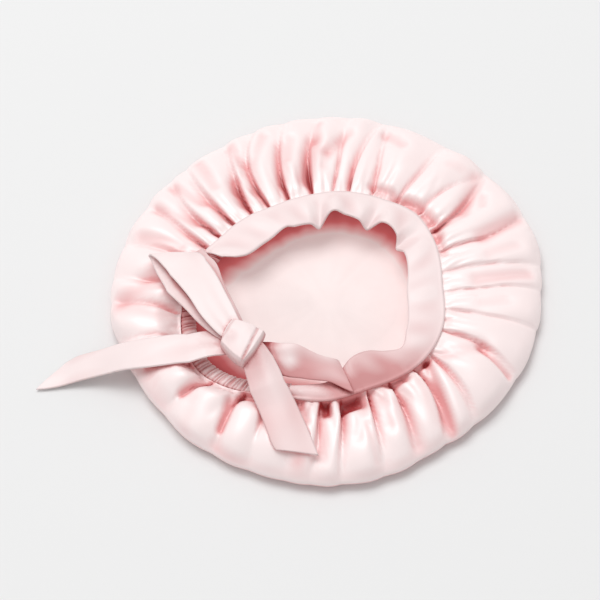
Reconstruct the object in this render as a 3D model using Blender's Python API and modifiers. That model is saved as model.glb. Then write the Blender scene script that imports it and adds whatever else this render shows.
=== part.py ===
# Satin sleep bonnet lying on its crown with the opening up.
# The crown is one gathered disc of cloth: flat underneath, turned over at the rim and
# drawn in to the opening. A band and a shirred elastic casing finish the opening, and
# two ties run from the ends of the band to a knot with one loop and two free tails.
# Metres, +Z up. The origin is the middle of the crown's flat underside. The knot lies
# towards -X and -Y, and the left tail runs out along -X. Bearings are degrees from +X
# towards +Y.

import math

import bmesh
import bpy
import numpy as np
from mathutils import Matrix

OBJECT_NAME = "sleep_bonnet"

# Main sizes
CROWN_RADIUS = 0.157
RING_HEIGHT = 0.025
RIM_DEPTH = 0.014
CLOTH = 0.0012
OPENING_RADIUS = 0.088
OPENING_SHIFT_X = -0.002
OPENING_SHIFT_Y = -0.007
FOLD_DEPTH = 0.0068
FOLD_WIDTH = 0.0052

# Form of a gather: its valley's width at the seam and how much wider it is at the rim,
# as shares of FOLD_WIDTH, the power of its flanks, how far past its reach it fades out,
# and the deepest that neighbouring valleys make together, a share of FOLD_DEPTH
VALLEY_START = 0.55
VALLEY_SPREAD = 0.9
VALLEY_POWER = 1.4
VALLEY_FADE = 0.15
VALLEY_LIMIT = 1.25

# Share of the ring's width over which a low seam has risen to the ring's full height
NECK_RISE = 0.38

# Band and elastic
BAND_WIDTH = 0.026
BAND_THICKNESS = 0.0016
BAND_BULGE = 0.0018
SEAM_OVERLAP = 0.0025
ELASTIC_WIDTH = 0.011
ELASTIC_THICKNESS = 0.004
ELASTIC_RIB = 0.0007
RIB_PITCH = 0.0085

# Ties, loop, tails and knot
TIE_WIDTH = 0.027
TIE_THICKNESS = 0.0016
TIE_BULGE = 0.0010
KNOT_LENGTH = 0.028
KNOT_WIDTH = 0.027
KNOT_HEIGHT = 0.0165
KNOT_TURN = -36.0
KNOT_TAPER = 0.22
KNOT_DENT = 0.0022

# Form of the knot, in its half sizes: roundness (1 is a ball), the dent's middle along and
# across the knot, and the dent's spread
KNOT_ROUNDNESS = 0.72
DENT_ALONG = -0.35
DENT_ACROSS = 0.1
DENT_SPREAD = 0.12

# Gap kept between neighbouring pieces
SEAM_GAP = 0.0003

# Divisions of the meshes
AROUND = 144
BAND_START_STEP = 101
BAND_END_STEP = 208
BAND_ACROSS = (0.0, 0.3, 0.62, 1.0)
TIE_ACROSS = 4
RIBBON_STEPS = 3
LOOP_STEPS = 2
RIB_STEPS = 4
CASING_SIDES = 8
KNOT_SIDES = 20
KNOT_RINGS = 12
SHARP_ANGLE = 50

# Radius of the casing's section while it is turned round a circle of radius 1
TURNING_RADIUS = 0.25

# Colour and roughness of each satin
SATINS = {
    "pink_satin": ((0.93, 0.74, 0.73), 0.32),
    "shirred_satin": ((0.90, 0.68, 0.68), 0.45),
    "ribbon_satin": ((0.94, 0.77, 0.76), 0.30),
}


def table(columns, rows):
    """Named columns of a short table."""
    return dict(zip(columns.split(), np.array(rows, dtype=float).T))


# Outer edge of the crown seen from above, as shares of CROWN_RADIUS
OUTLINE = table("bearing radius", [
    (0, 1.004), (18, 1.056), (38, 1.066), (58, 1.069), (79, 1.080), (100, 1.064),
    (121, 1.026), (142, 1.013), (163, 1.008), (183, 1.012), (213, 0.977), (232, 0.979),
    (250, 0.979), (269, 0.986), (288, 0.970), (298, 0.945), (306, 0.945), (318, 0.951),
    (337, 0.975),
])

# Edge of the opening where the band and the elastic are sewn on. The radius is a share
# of OPENING_RADIUS, and the height a share of RING_HEIGHT.
SEAM = table("bearing radius height", [
    (0, 0.945, 0.98), (13, 0.966, 1.00), (29, 1.020, 1.00), (45, 1.060, 1.00),
    (60, 1.020, 1.00), (82, 0.983, 1.00), (95, 0.945, 1.00), (107, 0.926, 1.00),
    (119, 0.920, 1.00), (129, 0.945, 1.00), (139, 0.966, 1.00), (150, 0.990, 1.00),
    (160, 1.050, 0.96), (175, 1.130, 0.82), (190, 1.200, 0.66), (203, 1.240, 0.58),
    (215, 1.240, 0.56), (226, 1.180, 0.60), (235, 1.110, 0.66), (254, 1.010, 0.76),
    (270, 1.000, 0.82), (290, 0.960, 0.86), (313, 0.997, 0.90), (325, 1.005, 0.93),
    (340, 0.990, 0.96),
])

# Profile of the gathered ring from the seam over the rim to the flat underside. "out" is
# the share of the way from the seam to the rim, "inset" a share of RIM_DEPTH, "height" a
# share of RING_HEIGHT, and "sink" and "pull" are the shares of a fold's depth that act
# downwards and inwards.
PROFILE = table("out inset height sink pull", [
    (0.00, 0.00, 1.00, 0.00, 0.00),
    (0.05, 0.00, 1.01, 0.00, 0.00),
    (0.12, 0.00, 1.04, 0.85, 0.00),
    (0.28, 0.00, 1.04, 1.00, 0.00),
    (0.48, 0.00, 0.99, 0.85, 0.00),
    (0.70, 0.00, 0.86, 0.65, 0.05),
    (0.89, 0.00, 0.63, 0.40, 0.25),
    (1.00, 0.00, 0.34, 0.10, 0.50),
    (1.00, 0.18, 0.12, 0.00, 0.20),
    (1.00, 1.00, 0.00, 0.00, 0.00),
])

# Valleys of the gathers. Each runs from a bearing at the seam to one at the rim and has
# faded out at "reach", a share of the ring's width. The depth is a share of FOLD_DEPTH
# and the width of FOLD_WIDTH. "bend" is how far its middle swings, in degrees.
CREASES = table("seam rim reach depth width bend", [
    (10, 8, 1.00, 0.60, 0.90, 0),
    (22, 24, 1.00, 0.80, 1.00, -2),
    (33, 42, 1.00, 0.90, 1.20, -2),
    (44, 40, 0.70, 0.60, 0.80, 2),
    (56, 55, 0.85, 0.60, 1.00, 0),
    (67, 73, 1.00, 0.55, 0.90, 0),
    (78, 74, 1.00, 0.90, 1.10, 2),
    (86, 83, 0.70, 0.70, 0.80, 0),
    (96, 92, 0.90, 1.00, 1.10, 2),
    (108, 101, 1.00, 1.00, 1.00, 3),
    (119, 104, 1.00, 1.00, 0.90, 8),
    (129, 120, 1.00, 0.95, 1.00, 0),
    (139, 133, 1.00, 0.95, 0.90, 2),
    (149, 139, 0.90, 0.95, 0.90, 2),
    (157, 150, 0.95, 0.90, 1.10, 0),
    (165, 164, 0.90, 0.60, 1.30, 0),
    (176, 176, 0.90, 0.60, 1.20, 0),
    (188, 183, 0.85, 0.70, 1.20, 0),
    (200, 196, 0.70, 0.60, 1.00, 0),
    (210, 207, 0.60, 0.60, 0.90, 0),
    (222, 221, 0.80, 0.80, 1.00, 0),
    (235, 238, 0.85, 0.80, 0.90, 0),
    (246, 249, 0.60, 0.55, 0.80, 0),
    (257, 258, 0.60, 0.55, 0.80, 0),
    (267, 265, 0.85, 0.90, 0.90, 0),
    (275, 272, 0.95, 1.00, 1.10, 0),
    (290, 284, 0.95, 0.90, 1.10, 0),
    (301, 294, 0.75, 0.80, 0.90, 0),
    (314, 304, 1.00, 1.00, 1.10, 2),
    (325, 312, 0.95, 0.80, 1.00, 0),
    (338, 330, 0.95, 0.80, 1.00, 0),
    (349, 344, 1.00, 0.75, 1.00, 0),
    (359, 358, 1.00, 0.55, 0.80, 0),
])

# Free inner edge of the band. Bearings run on past 360. The width is a share of
# BAND_WIDTH and the height of the inner edge a share of RING_HEIGHT.
BAND_EDGE = table("bearing width height", [
    (252, 0.62, 0.82), (262, 0.80, 0.80), (276, 0.88, 0.82), (286, 0.92, 1.14),
    (300, 0.92, 1.08), (309, 0.72, 1.04), (317, 0.58, 1.02), (328, 0.80, 1.02),
    (345, 0.95, 1.02), (371, 0.88, 1.04), (389, 0.88, 1.00), (396, 1.00, 0.80),
    (402, 0.82, 1.04), (413, 0.76, 1.12), (420, 0.98, 0.82), (427, 0.86, 1.04),
    (437, 0.78, 1.10), (445, 0.72, 1.18), (453, 1.02, 0.82), (460, 0.90, 1.00),
    (472, 0.84, 1.04), (478, 0.76, 1.06), (490, 0.92, 1.00), (502, 0.96, 1.00),
    (513, 0.92, 1.02), (517, 0.78, 1.04), (520, 0.46, 1.04),
])

# Middle lines of the ribbons. "reach" is 0 at the middle of the opening, 1 at its edge
# and 2 at the crown's rim. The height is a share of RING_HEIGHT above which "layers"
# thicknesses of ribbon are laid. The width is a share of TIE_WIDTH, "across" is the plan
# direction of the ribbon's width and "roll" lifts the edge on that side, in degrees.
RIBBON_COLUMNS = "bearing reach height layers width across roll"

TIE_LEFT = table(RIBBON_COLUMNS, [
    (164.7, 1.13, 1.01, 1, 0.84, 35, 0),
    (170.5, 0.93, 1.04, 1, 0.84, 35, 4),
    (180.7, 0.81, 1.09, 1, 0.76, 29, 8),
    (194.6, 0.71, 1.13, 1, 0.66, 26, 6),
    (208.3, 0.68, 1.16, 1, 0.58, 25, 2),
    (219.1, 0.71, 1.18, 1, 0.46, 25, 0),
])

TIE_RIGHT = table(RIBBON_COLUMNS, [
    (278.0, 0.83, 0.99, 1, 0.46, 80, 6),
    (269.2, 0.78, 1.03, 1, 0.62, 80, 14),
    (258.9, 0.76, 1.09, 1, 0.76, 80, 18),
    (249.1, 0.74, 1.12, 1, 0.88, 77, 20),
    (239.7, 0.73, 1.11, 1, 0.78, 76, 14),
    (230.8, 0.72, 1.11, 1, 0.64, 76, 4),
    (221.9, 0.74, 1.13, 1, 0.46, 76, 0),
])

TAIL_LEFT = table(RIBBON_COLUMNS, [
    (221.3, 0.73, 1.19, 1, 0.48, 92, 0),
    (216.1, 0.80, 1.17, 1, 0.56, 92, 0),
    (210.4, 0.90, 1.13, 1, 0.78, 94, 0),
    (207.2, 1.15, 1.05, 1, 0.86, 96, 0),
    (205.0, 1.59, 0.94, 1, 0.86, 94, 0),
    (202.7, 2.03, 0.70, 1, 0.82, 92, 0),
    (201.3, 2.42, 0.38, 1, 0.78, 92, 0),
    (200.7, 2.77, 0.19, 1, 0.77, 90, 0),
    (200.7, 3.03, 0.12, 0, 0.80, 74, 0),
    (200.8, 3.28, 0.06, 0, 0.96, 47, 0),
])

TAIL_RIGHT = table(RIBBON_COLUMNS, [
    (220.6, 0.69, 1.42, 1, 0.46, 30, 0),
    (230.7, 0.78, 1.37, 1, 0.74, 26, 0),
    (242.0, 0.95, 1.19, 1, 0.90, 22, 0),
    (249.8, 1.19, 1.03, 1, 0.95, 21, 0),
    (255.9, 1.46, 0.98, 1, 0.98, 18, 0),
    (261.0, 1.75, 0.85, 1, 1.08, -8, 0),
])

BOW_LOOP = table(RIBBON_COLUMNS, [
    (220.8, 0.72, 1.22, 2, 0.48, 36, 0),
    (212.5, 0.72, 1.23, 2, 0.66, 36, 4),
    (200.4, 0.77, 1.22, 2, 0.84, 36, 6),
    (188.2, 0.87, 1.20, 2, 0.94, 36, 6),
    (178.9, 1.02, 1.17, 2, 1.02, 28, 6),
    (173.2, 1.23, 1.12, 2, 1.14, 12, 3),
    (169.6, 1.36, 1.11, 2, 1.28, 4, 0),
    (168.4, 1.42, 1.21, 2, 1.30, 3, 0),
    (169.4, 1.36, 1.31, 2, 1.28, 4, 0),
    (171.2, 1.22, 1.36, 2, 1.16, 12, 0),
    (174.8, 0.99, 1.38, 2, 1.04, 26, 0),
    (185.3, 0.84, 1.44, 2, 0.95, 36, 0),
    (199.3, 0.75, 1.42, 2, 0.86, 36, 0),
    (211.5, 0.72, 1.36, 2, 0.66, 36, 0),
    (220.8, 0.72, 1.32, 2, 0.48, 36, 0),
])

KNOT_PLACE = table("bearing reach height", [(219.5, 0.73, 1.46)])


def between(values, index, share):
    """Smooth curve through neighbouring values, held inside the list's ends."""
    before, start, end, after = (values[i] for i in index)
    slope_in = (end - before) / 2
    slope_out = (after - start) / 2
    square, cube = share ** 2, share ** 3
    return (start * (2 * cube - 3 * square + 1) + slope_in * (cube - 2 * square + share)
            + end * (3 * square - 2 * cube) + slope_out * (cube - square))


def ring_value(rows, column, bearing):
    """Value of a column that closes on itself round the full circle."""
    bearings, values = rows["bearing"], rows[column]
    count = len(bearings)
    bearing = bearing % 360
    start = int(np.searchsorted(bearings, bearing, side="right")) - 1
    end = (start + 1) % count
    span = (bearings[end] - bearings[start]) % 360
    share = (bearing - bearings[start]) / span
    index = (start - 1, start, end, (end + 1) % count)
    return between(values, index, share)


def line_value(rows, column, position):
    """Value of a column at a position counted in rows from the first one."""
    values = rows[column]
    last = len(values) - 1
    start = min(int(position), last - 1)
    index = (max(start - 1, 0), start, start + 1, min(start + 2, last))
    return between(values, index, position - start)


def smooth_step(value, start, end):
    share = min(max((value - start) / (end - start), 0), 1)
    return share * share * (3 - 2 * share)


def direction(bearing):
    angle = math.radians(bearing)
    return np.array([math.cos(angle), math.sin(angle)])


def opening_middle():
    return np.array([OPENING_SHIFT_X, OPENING_SHIFT_Y])


def seam_point(bearing):
    """Plan position of the opening's sewn edge."""
    radius = OPENING_RADIUS * ring_value(SEAM, "radius", bearing)
    return opening_middle() + radius * direction(bearing)


def rim_point(bearing):
    """Plan position of the crown's outer edge."""
    return CROWN_RADIUS * ring_value(OUTLINE, "radius", bearing) * direction(bearing)


def plan_point(bearing, reach):
    """Plan position inside the opening (reach below 1), on the ring or beyond it."""
    if reach < 1:
        return opening_middle() + reach * (seam_point(bearing) - opening_middle())
    return seam_point(bearing) + (reach - 1) * (rim_point(bearing) - seam_point(bearing))


def fold_depth(bearing, out, radius):
    """Depth of the gathers at a place on the ring."""
    path = CREASES["seam"] + out * (CREASES["rim"] - CREASES["seam"])
    path = path + CREASES["bend"] * math.sin(math.pi * out)
    turn = (bearing - path + 180) % 360 - 180
    distance = np.radians(np.abs(turn)) * radius
    width = FOLD_WIDTH * CREASES["width"] * (VALLEY_START + VALLEY_SPREAD * out)
    fade = np.clip(1 - (out / (CREASES["reach"] + VALLEY_FADE)) ** 3, 0, 1)
    valleys = CREASES["depth"] * fade * np.exp(-(distance / width) ** VALLEY_POWER)
    return FOLD_DEPTH * min(float(valleys.sum()), VALLEY_LIMIT)


def ring_top(bearing, out, height):
    """Height of the ring's surface before the gathers sink it."""
    seam = ring_value(SEAM, "height", bearing)
    rise = seam + (1 - seam) * smooth_step(out, 0.0, NECK_RISE)
    return RING_HEIGHT * height * rise


def ring_place(bearing, station):
    """Position on the crown's outside at a bearing and a row of PROFILE."""
    out, inset, height, sink, pull = (PROFILE[name][station] for name in PROFILE)
    place = plan_point(bearing, 1 + out)
    depth = fold_depth(bearing, out, float(np.hypot(*(place - opening_middle()))))
    place = place - (inset * RIM_DEPTH + pull * depth) * direction(bearing)
    return (*place, ring_top(bearing, out, height) - sink * depth)


def neck_top(bearing, distance):
    """Height of the crown's outside a short distance outwards from its seam."""
    width = float(np.hypot(*(rim_point(bearing) - seam_point(bearing))))
    out = PROFILE["out"][1]
    seam, neck = (ring_place(bearing, station)[2] for station in (0, 1))
    return seam + (neck - seam) * distance / (out * width)


def new_collection(name):
    collection = bpy.data.collections.new(name)
    bpy.context.scene.collection.children.link(collection)
    return collection


def satin(name):
    colour, roughness = SATINS[name]
    material = bpy.data.materials.new(name)
    material.use_nodes = True
    shader = material.node_tree.nodes["Principled BSDF"]
    shader.inputs["Base Color"].default_value = (*colour, 1)
    shader.inputs["Roughness"].default_value = roughness
    shader.inputs["Metallic"].default_value = 0
    return material


def finish(name, shape, collection, material):
    """Turns a bmesh into a smooth-shaded object."""
    mesh = bpy.data.meshes.new(name)
    shape.to_mesh(mesh)
    shape.free()
    mesh.shade_smooth()
    mesh.set_sharp_from_angle(angle=math.radians(SHARP_ANGLE))
    piece = bpy.data.objects.new(name, mesh)
    if material:
        mesh.materials.append(material)
    collection.objects.link(piece)
    return piece


def add_wall(piece, thickness, offset):
    wall = piece.modifiers.new("wall", "SOLIDIFY")
    wall.thickness = thickness
    wall.offset = offset


def make_crown(collection, material):
    """Disc turned from its profile, then gathered: one wall from seam to seam."""
    shape = bmesh.new()
    stations = len(PROFILE["out"])
    profile = [shape.verts.new((1.0 + station, 0, 0)) for station in range(stations)]
    edges = [shape.edges.new(pair) for pair in zip(profile, profile[1:])]
    bmesh.ops.spin(shape, geom=profile + edges, cent=(0, 0, 0), axis=(0, 0, 1),
                   angle=2 * math.pi, steps=AROUND, use_merge=True)
    foot = []
    for corner in shape.verts:
        station = round(corner.co.to_2d().length) - 1
        bearing = math.degrees(math.atan2(corner.co.y, corner.co.x))
        corner.co = ring_place(bearing, station)
        if station == stations - 1:
            foot.append(corner)
    underside = [edge for edge in shape.edges if all(end in foot for end in edge.verts)]
    bmesh.ops.holes_fill(shape, edges=underside, sides=0)
    bmesh.ops.recalc_face_normals(shape, faces=shape.faces)
    bottom = min(shape.faces, key=lambda face: face.calc_center_median().z)
    if bottom.normal.z > 0:
        bmesh.ops.reverse_faces(shape, faces=shape.faces)
    crown = finish("crown", shape, collection, material)
    add_wall(crown, CLOTH, -1)
    return crown


def make_band(collection, material):
    """Flat strip sewn on the seam, with a free wavy inner edge."""
    steps = BAND_END_STEP - BAND_START_STEP
    shape = bmesh.new()
    bmesh.ops.create_grid(shape, x_segments=steps, y_segments=len(BAND_ACROSS), size=0.5)
    for corner in shape.verts:
        step = BAND_START_STEP + round((corner.co.x + 0.5) * steps)
        row = round((corner.co.y + 0.5) * len(BAND_ACROSS))
        corner.co = band_place(step * 360 / AROUND, row)
    bmesh.ops.recalc_face_normals(shape, faces=shape.faces)
    if sum(face.normal.z for face in shape.faces) < 0:
        bmesh.ops.reverse_faces(shape, faces=shape.faces)
    band = finish("band", shape, collection, material)
    add_wall(band, BAND_THICKNESS, 1)
    return band


def band_place(bearing, row):
    """Underside of the band: row 0 overlaps the crown, row 1 is the seam."""
    outward = direction(bearing)
    seam = seam_point(bearing)
    if row == 0:
        return (*(seam + SEAM_OVERLAP * outward), neck_top(bearing, SEAM_OVERLAP) + SEAM_GAP)
    share = BAND_ACROSS[row - 1]
    position = float(np.interp(bearing, BAND_EDGE["bearing"], range(len(BAND_EDGE["bearing"]))))
    width = BAND_WIDTH * line_value(BAND_EDGE, "width", position)
    edge = RING_HEIGHT * line_value(BAND_EDGE, "height", position)
    start = neck_top(bearing, 0) + SEAM_GAP
    height = start + (edge - start) * share + BAND_BULGE * math.sin(math.pi * share)
    return (*(seam - width * share * outward), height)


def make_elastic(collection, material):
    """Ribbed casing drawn in by its elastic, edge to edge with the crown."""
    clearance = math.degrees(SEAM_GAP / OPENING_RADIUS)
    start = BAND_END_STEP * 360 / AROUND - 360 + clearance
    end = BAND_START_STEP * 360 / AROUND - clearance
    middle = ring_value(SEAM, "radius", (start + end) / 2)
    length = math.radians(end - start) * OPENING_RADIUS * middle
    sections = round(length / RIB_PITCH) * RIB_STEPS
    shape = bmesh.new()
    turn = Matrix.Translation((1, 0, 0)) @ Matrix.Rotation(math.pi / 2, 4, "X")
    bmesh.ops.create_circle(shape, segments=CASING_SIDES, radius=TURNING_RADIUS, matrix=turn)
    bmesh.ops.spin(shape, geom=shape.verts[:] + shape.edges[:], cent=(0, 0, 0),
                   axis=(0, 0, 1), angle=math.pi, steps=sections)
    for corner in shape.verts:
        turned = math.atan2(abs(corner.co.y), corner.co.x)
        section = round(turned / math.pi * sections)
        side = (corner.co.to_2d().length - 1) / TURNING_RADIUS
        corner.co = elastic_place(start + (end - start) * section / sections, section,
                                  side, corner.co.z / TURNING_RADIUS)
    ends = [edge for edge in shape.edges if edge.is_boundary]
    bmesh.ops.holes_fill(shape, edges=ends, sides=0)
    bmesh.ops.recalc_face_normals(shape, faces=shape.faces)
    return finish("elastic_casing", shape, collection, material)


def elastic_place(bearing, section, side, lift):
    """Point of the casing's outside from its place on a round section."""
    rib = ELASTIC_RIB * math.cos(2 * math.pi * section / RIB_STEPS)
    outward = direction(bearing)
    middle = seam_point(bearing) - (SEAM_GAP + ELASTIC_WIDTH / 2) * outward
    height = RING_HEIGHT * ring_value(SEAM, "height", bearing) - CLOTH / 2
    plan = middle + side * ELASTIC_WIDTH / 2 * outward
    return (*plan, height + (ELASTIC_THICKNESS / 2 + rib) * lift)


def make_ribbon(name, rows, steps, collection, material, knot_cutter):
    """Flat ribbon along a table of stations, ending against the knot."""
    last = len(rows["bearing"]) - 1
    along = last * steps
    shape = bmesh.new()
    bmesh.ops.create_grid(shape, x_segments=along, y_segments=TIE_ACROSS, size=0.5)
    for corner in shape.verts:
        position = (corner.co.x + 0.5) * last
        side = corner.co.y * 2
        corner.co = ribbon_place(rows, position, side)
    ribbon = finish(name, shape, collection, material)
    add_wall(ribbon, TIE_THICKNESS, 0)
    cut = ribbon.modifiers.new("knot", "BOOLEAN")
    cut.operation = "DIFFERENCE"
    cut.solver = "EXACT"
    cut.object = knot_cutter
    return ribbon


def ribbon_place(rows, position, side):
    """Point of a ribbon at a row position and from -1 to 1 across its width."""
    bearing, reach, height, layers, width, across, roll = (
        line_value(rows, column, position) for column in rows)
    middle = plan_point(bearing, reach)
    half = TIE_WIDTH * width / 2
    tilt = math.radians(roll)
    plan = middle + side * half * math.cos(tilt) * direction(across)
    level = RING_HEIGHT * height + layers * (TIE_THICKNESS + SEAM_GAP)
    crowning = TIE_BULGE * (1 - side * side)
    return (*plan, level + side * half * math.sin(tilt) + crowning)


def make_knot(name, clearance, collection, material):
    """Soft block of wrapped ribbon, wider on the side of the right tail."""
    bearing, reach, height = (KNOT_PLACE[column][0] for column in KNOT_PLACE)
    middle = plan_point(bearing, reach)
    along, across = direction(KNOT_TURN), direction(KNOT_TURN + 90)
    shape = bmesh.new()
    bmesh.ops.create_uvsphere(shape, u_segments=KNOT_SIDES, v_segments=KNOT_RINGS,
                              radius=1)
    for corner in shape.verts:
        x, y, z = (math.copysign(abs(value) ** KNOT_ROUNDNESS, value) for value in corner.co)
        away = ((x - DENT_ALONG) ** 2 + (y - DENT_ACROSS) ** 2) / DENT_SPREAD
        dent = KNOT_DENT * math.exp(-away) * max(z, 0)
        side = (KNOT_LENGTH / 2 + clearance) * x
        turn = (KNOT_WIDTH / 2 * (1 + KNOT_TAPER * x) + clearance) * y
        lift = (KNOT_HEIGHT / 2 + clearance) * z - dent
        corner.co = (*(middle + side * along + turn * across), RING_HEIGHT * height + lift)
    return finish(name, shape, collection, material)


def main():
    for old in list(bpy.data.objects):
        bpy.data.objects.remove(old, do_unlink=True)
    parts = new_collection(OBJECT_NAME)
    cutters = new_collection("cutters")
    pink = satin("pink_satin")
    shirred = satin("shirred_satin")
    ribbon = satin("ribbon_satin")

    cutter = make_knot("knot_clearance", SEAM_GAP, cutters, None)
    cutter.hide_render = True
    cutter.display_type = "WIRE"

    make_crown(parts, pink)
    make_band(parts, ribbon)
    make_elastic(parts, shirred)
    make_knot("knot", 0, parts, ribbon)
    make_ribbon("tie_left", TIE_LEFT, RIBBON_STEPS, parts, ribbon, cutter)
    make_ribbon("tie_right", TIE_RIGHT, RIBBON_STEPS, parts, ribbon, cutter)
    make_ribbon("tail_left", TAIL_LEFT, RIBBON_STEPS, parts, ribbon, cutter)
    make_ribbon("tail_right", TAIL_RIGHT, RIBBON_STEPS, parts, ribbon, cutter)
    make_ribbon("bow_loop", BOW_LOOP, LOOP_STEPS, parts, ribbon, cutter)


main()
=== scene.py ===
# Satin sleep bonnet on a pale floor: gathered crown, flat band, shirred elastic, half bow.
import math
import bmesh
import bpy
import numpy as np
from mathutils import Matrix, Vector
from mathutils.bvhtree import BVHTree


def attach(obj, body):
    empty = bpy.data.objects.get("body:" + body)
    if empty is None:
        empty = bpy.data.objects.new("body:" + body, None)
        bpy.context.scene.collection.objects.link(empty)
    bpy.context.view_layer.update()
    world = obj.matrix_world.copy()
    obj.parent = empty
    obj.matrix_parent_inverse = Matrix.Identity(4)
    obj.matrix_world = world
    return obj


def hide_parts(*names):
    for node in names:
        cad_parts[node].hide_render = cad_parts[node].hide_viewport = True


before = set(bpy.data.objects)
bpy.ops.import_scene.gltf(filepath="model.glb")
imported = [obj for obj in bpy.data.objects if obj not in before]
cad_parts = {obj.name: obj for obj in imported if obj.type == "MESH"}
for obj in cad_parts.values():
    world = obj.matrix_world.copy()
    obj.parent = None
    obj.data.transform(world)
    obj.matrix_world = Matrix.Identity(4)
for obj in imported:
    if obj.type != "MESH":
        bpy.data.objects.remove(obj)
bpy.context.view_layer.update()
random = np.random.default_rng(7)


def linear(hexColour):  # sRGB hex to linear light
    parts = [int(hexColour[i:i + 2], 16) / 255 for i in (1, 3, 5)]
    return [c / 12.92 if c <= 0.04045 else ((c + 0.055) / 1.055) ** 2.4 for c in parts] + [1.0]


def columns(names, rows):  # named columns of a short table
    return dict(zip(names.split(), np.array(rows, dtype=float).T))


def curve(values, before, start, end, after, share):  # smooth curve through neighbours
    a, b, c, d = values[before], values[start], values[end], values[after]
    into, out = (c - a) / 2, (d - b) / 2
    square, cube = share ** 2, share ** 3
    return (b * (2 * cube - 3 * square + 1) + into * (cube - 2 * square + share)
            + c * (3 * square - 2 * cube) + out * (cube - square))


def roundValue(rows, column, bearing):  # a column that closes on itself
    bearings, count = rows["bearing"], len(rows["bearing"])
    bearing = np.asarray(bearing, dtype=float) % 360
    start = np.searchsorted(bearings, bearing, side="right") - 1
    end = (start + 1) % count
    span = (bearings[end] - bearings[start]) % 360
    share = (bearing - bearings[start]) / span
    return curve(rows[column], (start - 1) % count, start, end, (end + 1) % count, share)


def lineValue(rows, column, position):  # a column from its first row to its last
    last = len(rows[column]) - 1
    position = np.asarray(position, dtype=float)
    start = np.clip(position.astype(int), 0, last - 1)
    return curve(rows[column], np.maximum(start - 1, 0), start, start + 1,
                 np.minimum(start + 2, last), position - start)


def smoothStep(value, start, end):
    share = np.clip((value - start) / (end - start), 0, 1)
    return share * share * (3 - 2 * share)


def plan(bearing):  # direction in plan, as two arrays
    angle = np.radians(bearing)
    return np.stack([np.cos(angle), np.sin(angle)], axis=-1)


# the ring's own measures, as in the solids
ring = {
    "crownRadius": 0.157, "ringHeight": 0.025, "rimDepth": 0.014, "cloth": 0.0012,
    "openingRadius": 0.088, "openingMiddle": np.array([-0.002, -0.007]), "gap": 0.0003,
}

outline = columns("bearing radius", [
    (0, 1.004), (18, 1.056), (38, 1.066), (58, 1.069), (79, 1.080), (100, 1.064),
    (121, 1.026), (142, 1.013), (163, 1.008), (183, 1.012), (213, 0.977), (232, 0.979),
    (250, 0.979), (269, 0.986), (288, 0.970), (298, 0.945), (306, 0.945), (318, 0.951),
    (337, 0.975)])

seam = columns("bearing radius height", [
    (0, 0.945, 0.98), (13, 0.966, 1.00), (29, 1.020, 1.00), (45, 1.060, 1.00),
    (60, 1.020, 1.00), (82, 0.983, 1.00), (95, 0.945, 1.00), (107, 0.926, 1.00),
    (119, 0.920, 1.00), (129, 0.945, 1.00), (139, 0.966, 1.00), (150, 0.990, 1.00),
    (160, 1.050, 0.96), (175, 1.130, 0.82), (190, 1.200, 0.66), (203, 1.240, 0.58),
    (215, 1.240, 0.56), (226, 1.180, 0.60), (235, 1.110, 0.66), (254, 1.010, 0.76),
    (270, 1.000, 0.82), (290, 0.960, 0.86), (313, 0.997, 0.90), (325, 1.005, 0.93),
    (340, 0.990, 0.96)])

# the crown's section, from the seam over the rim to the flat underside: "sink" and "pull" say how
# far the folds lower the cloth and draw it in
profile = columns("out inset height sink pull", [
    (0.00, 0.00, 1.00, 0.10, 0.00), (0.05, 0.00, 1.01, 0.60, 0.00),
    (0.12, 0.00, 1.04, 1.00, 0.00), (0.28, 0.00, 1.04, 0.95, 0.00),
    (0.48, 0.00, 0.99, 0.85, 0.00), (0.70, 0.00, 0.86, 0.72, 0.05),
    (0.89, 0.00, 0.63, 0.50, 0.22), (1.00, 0.00, 0.34, 0.10, 0.42),
    (1.00, 0.18, 0.12, 0.00, 0.20), (1.00, 1.00, 0.00, 0.00, 0.00)])

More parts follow.
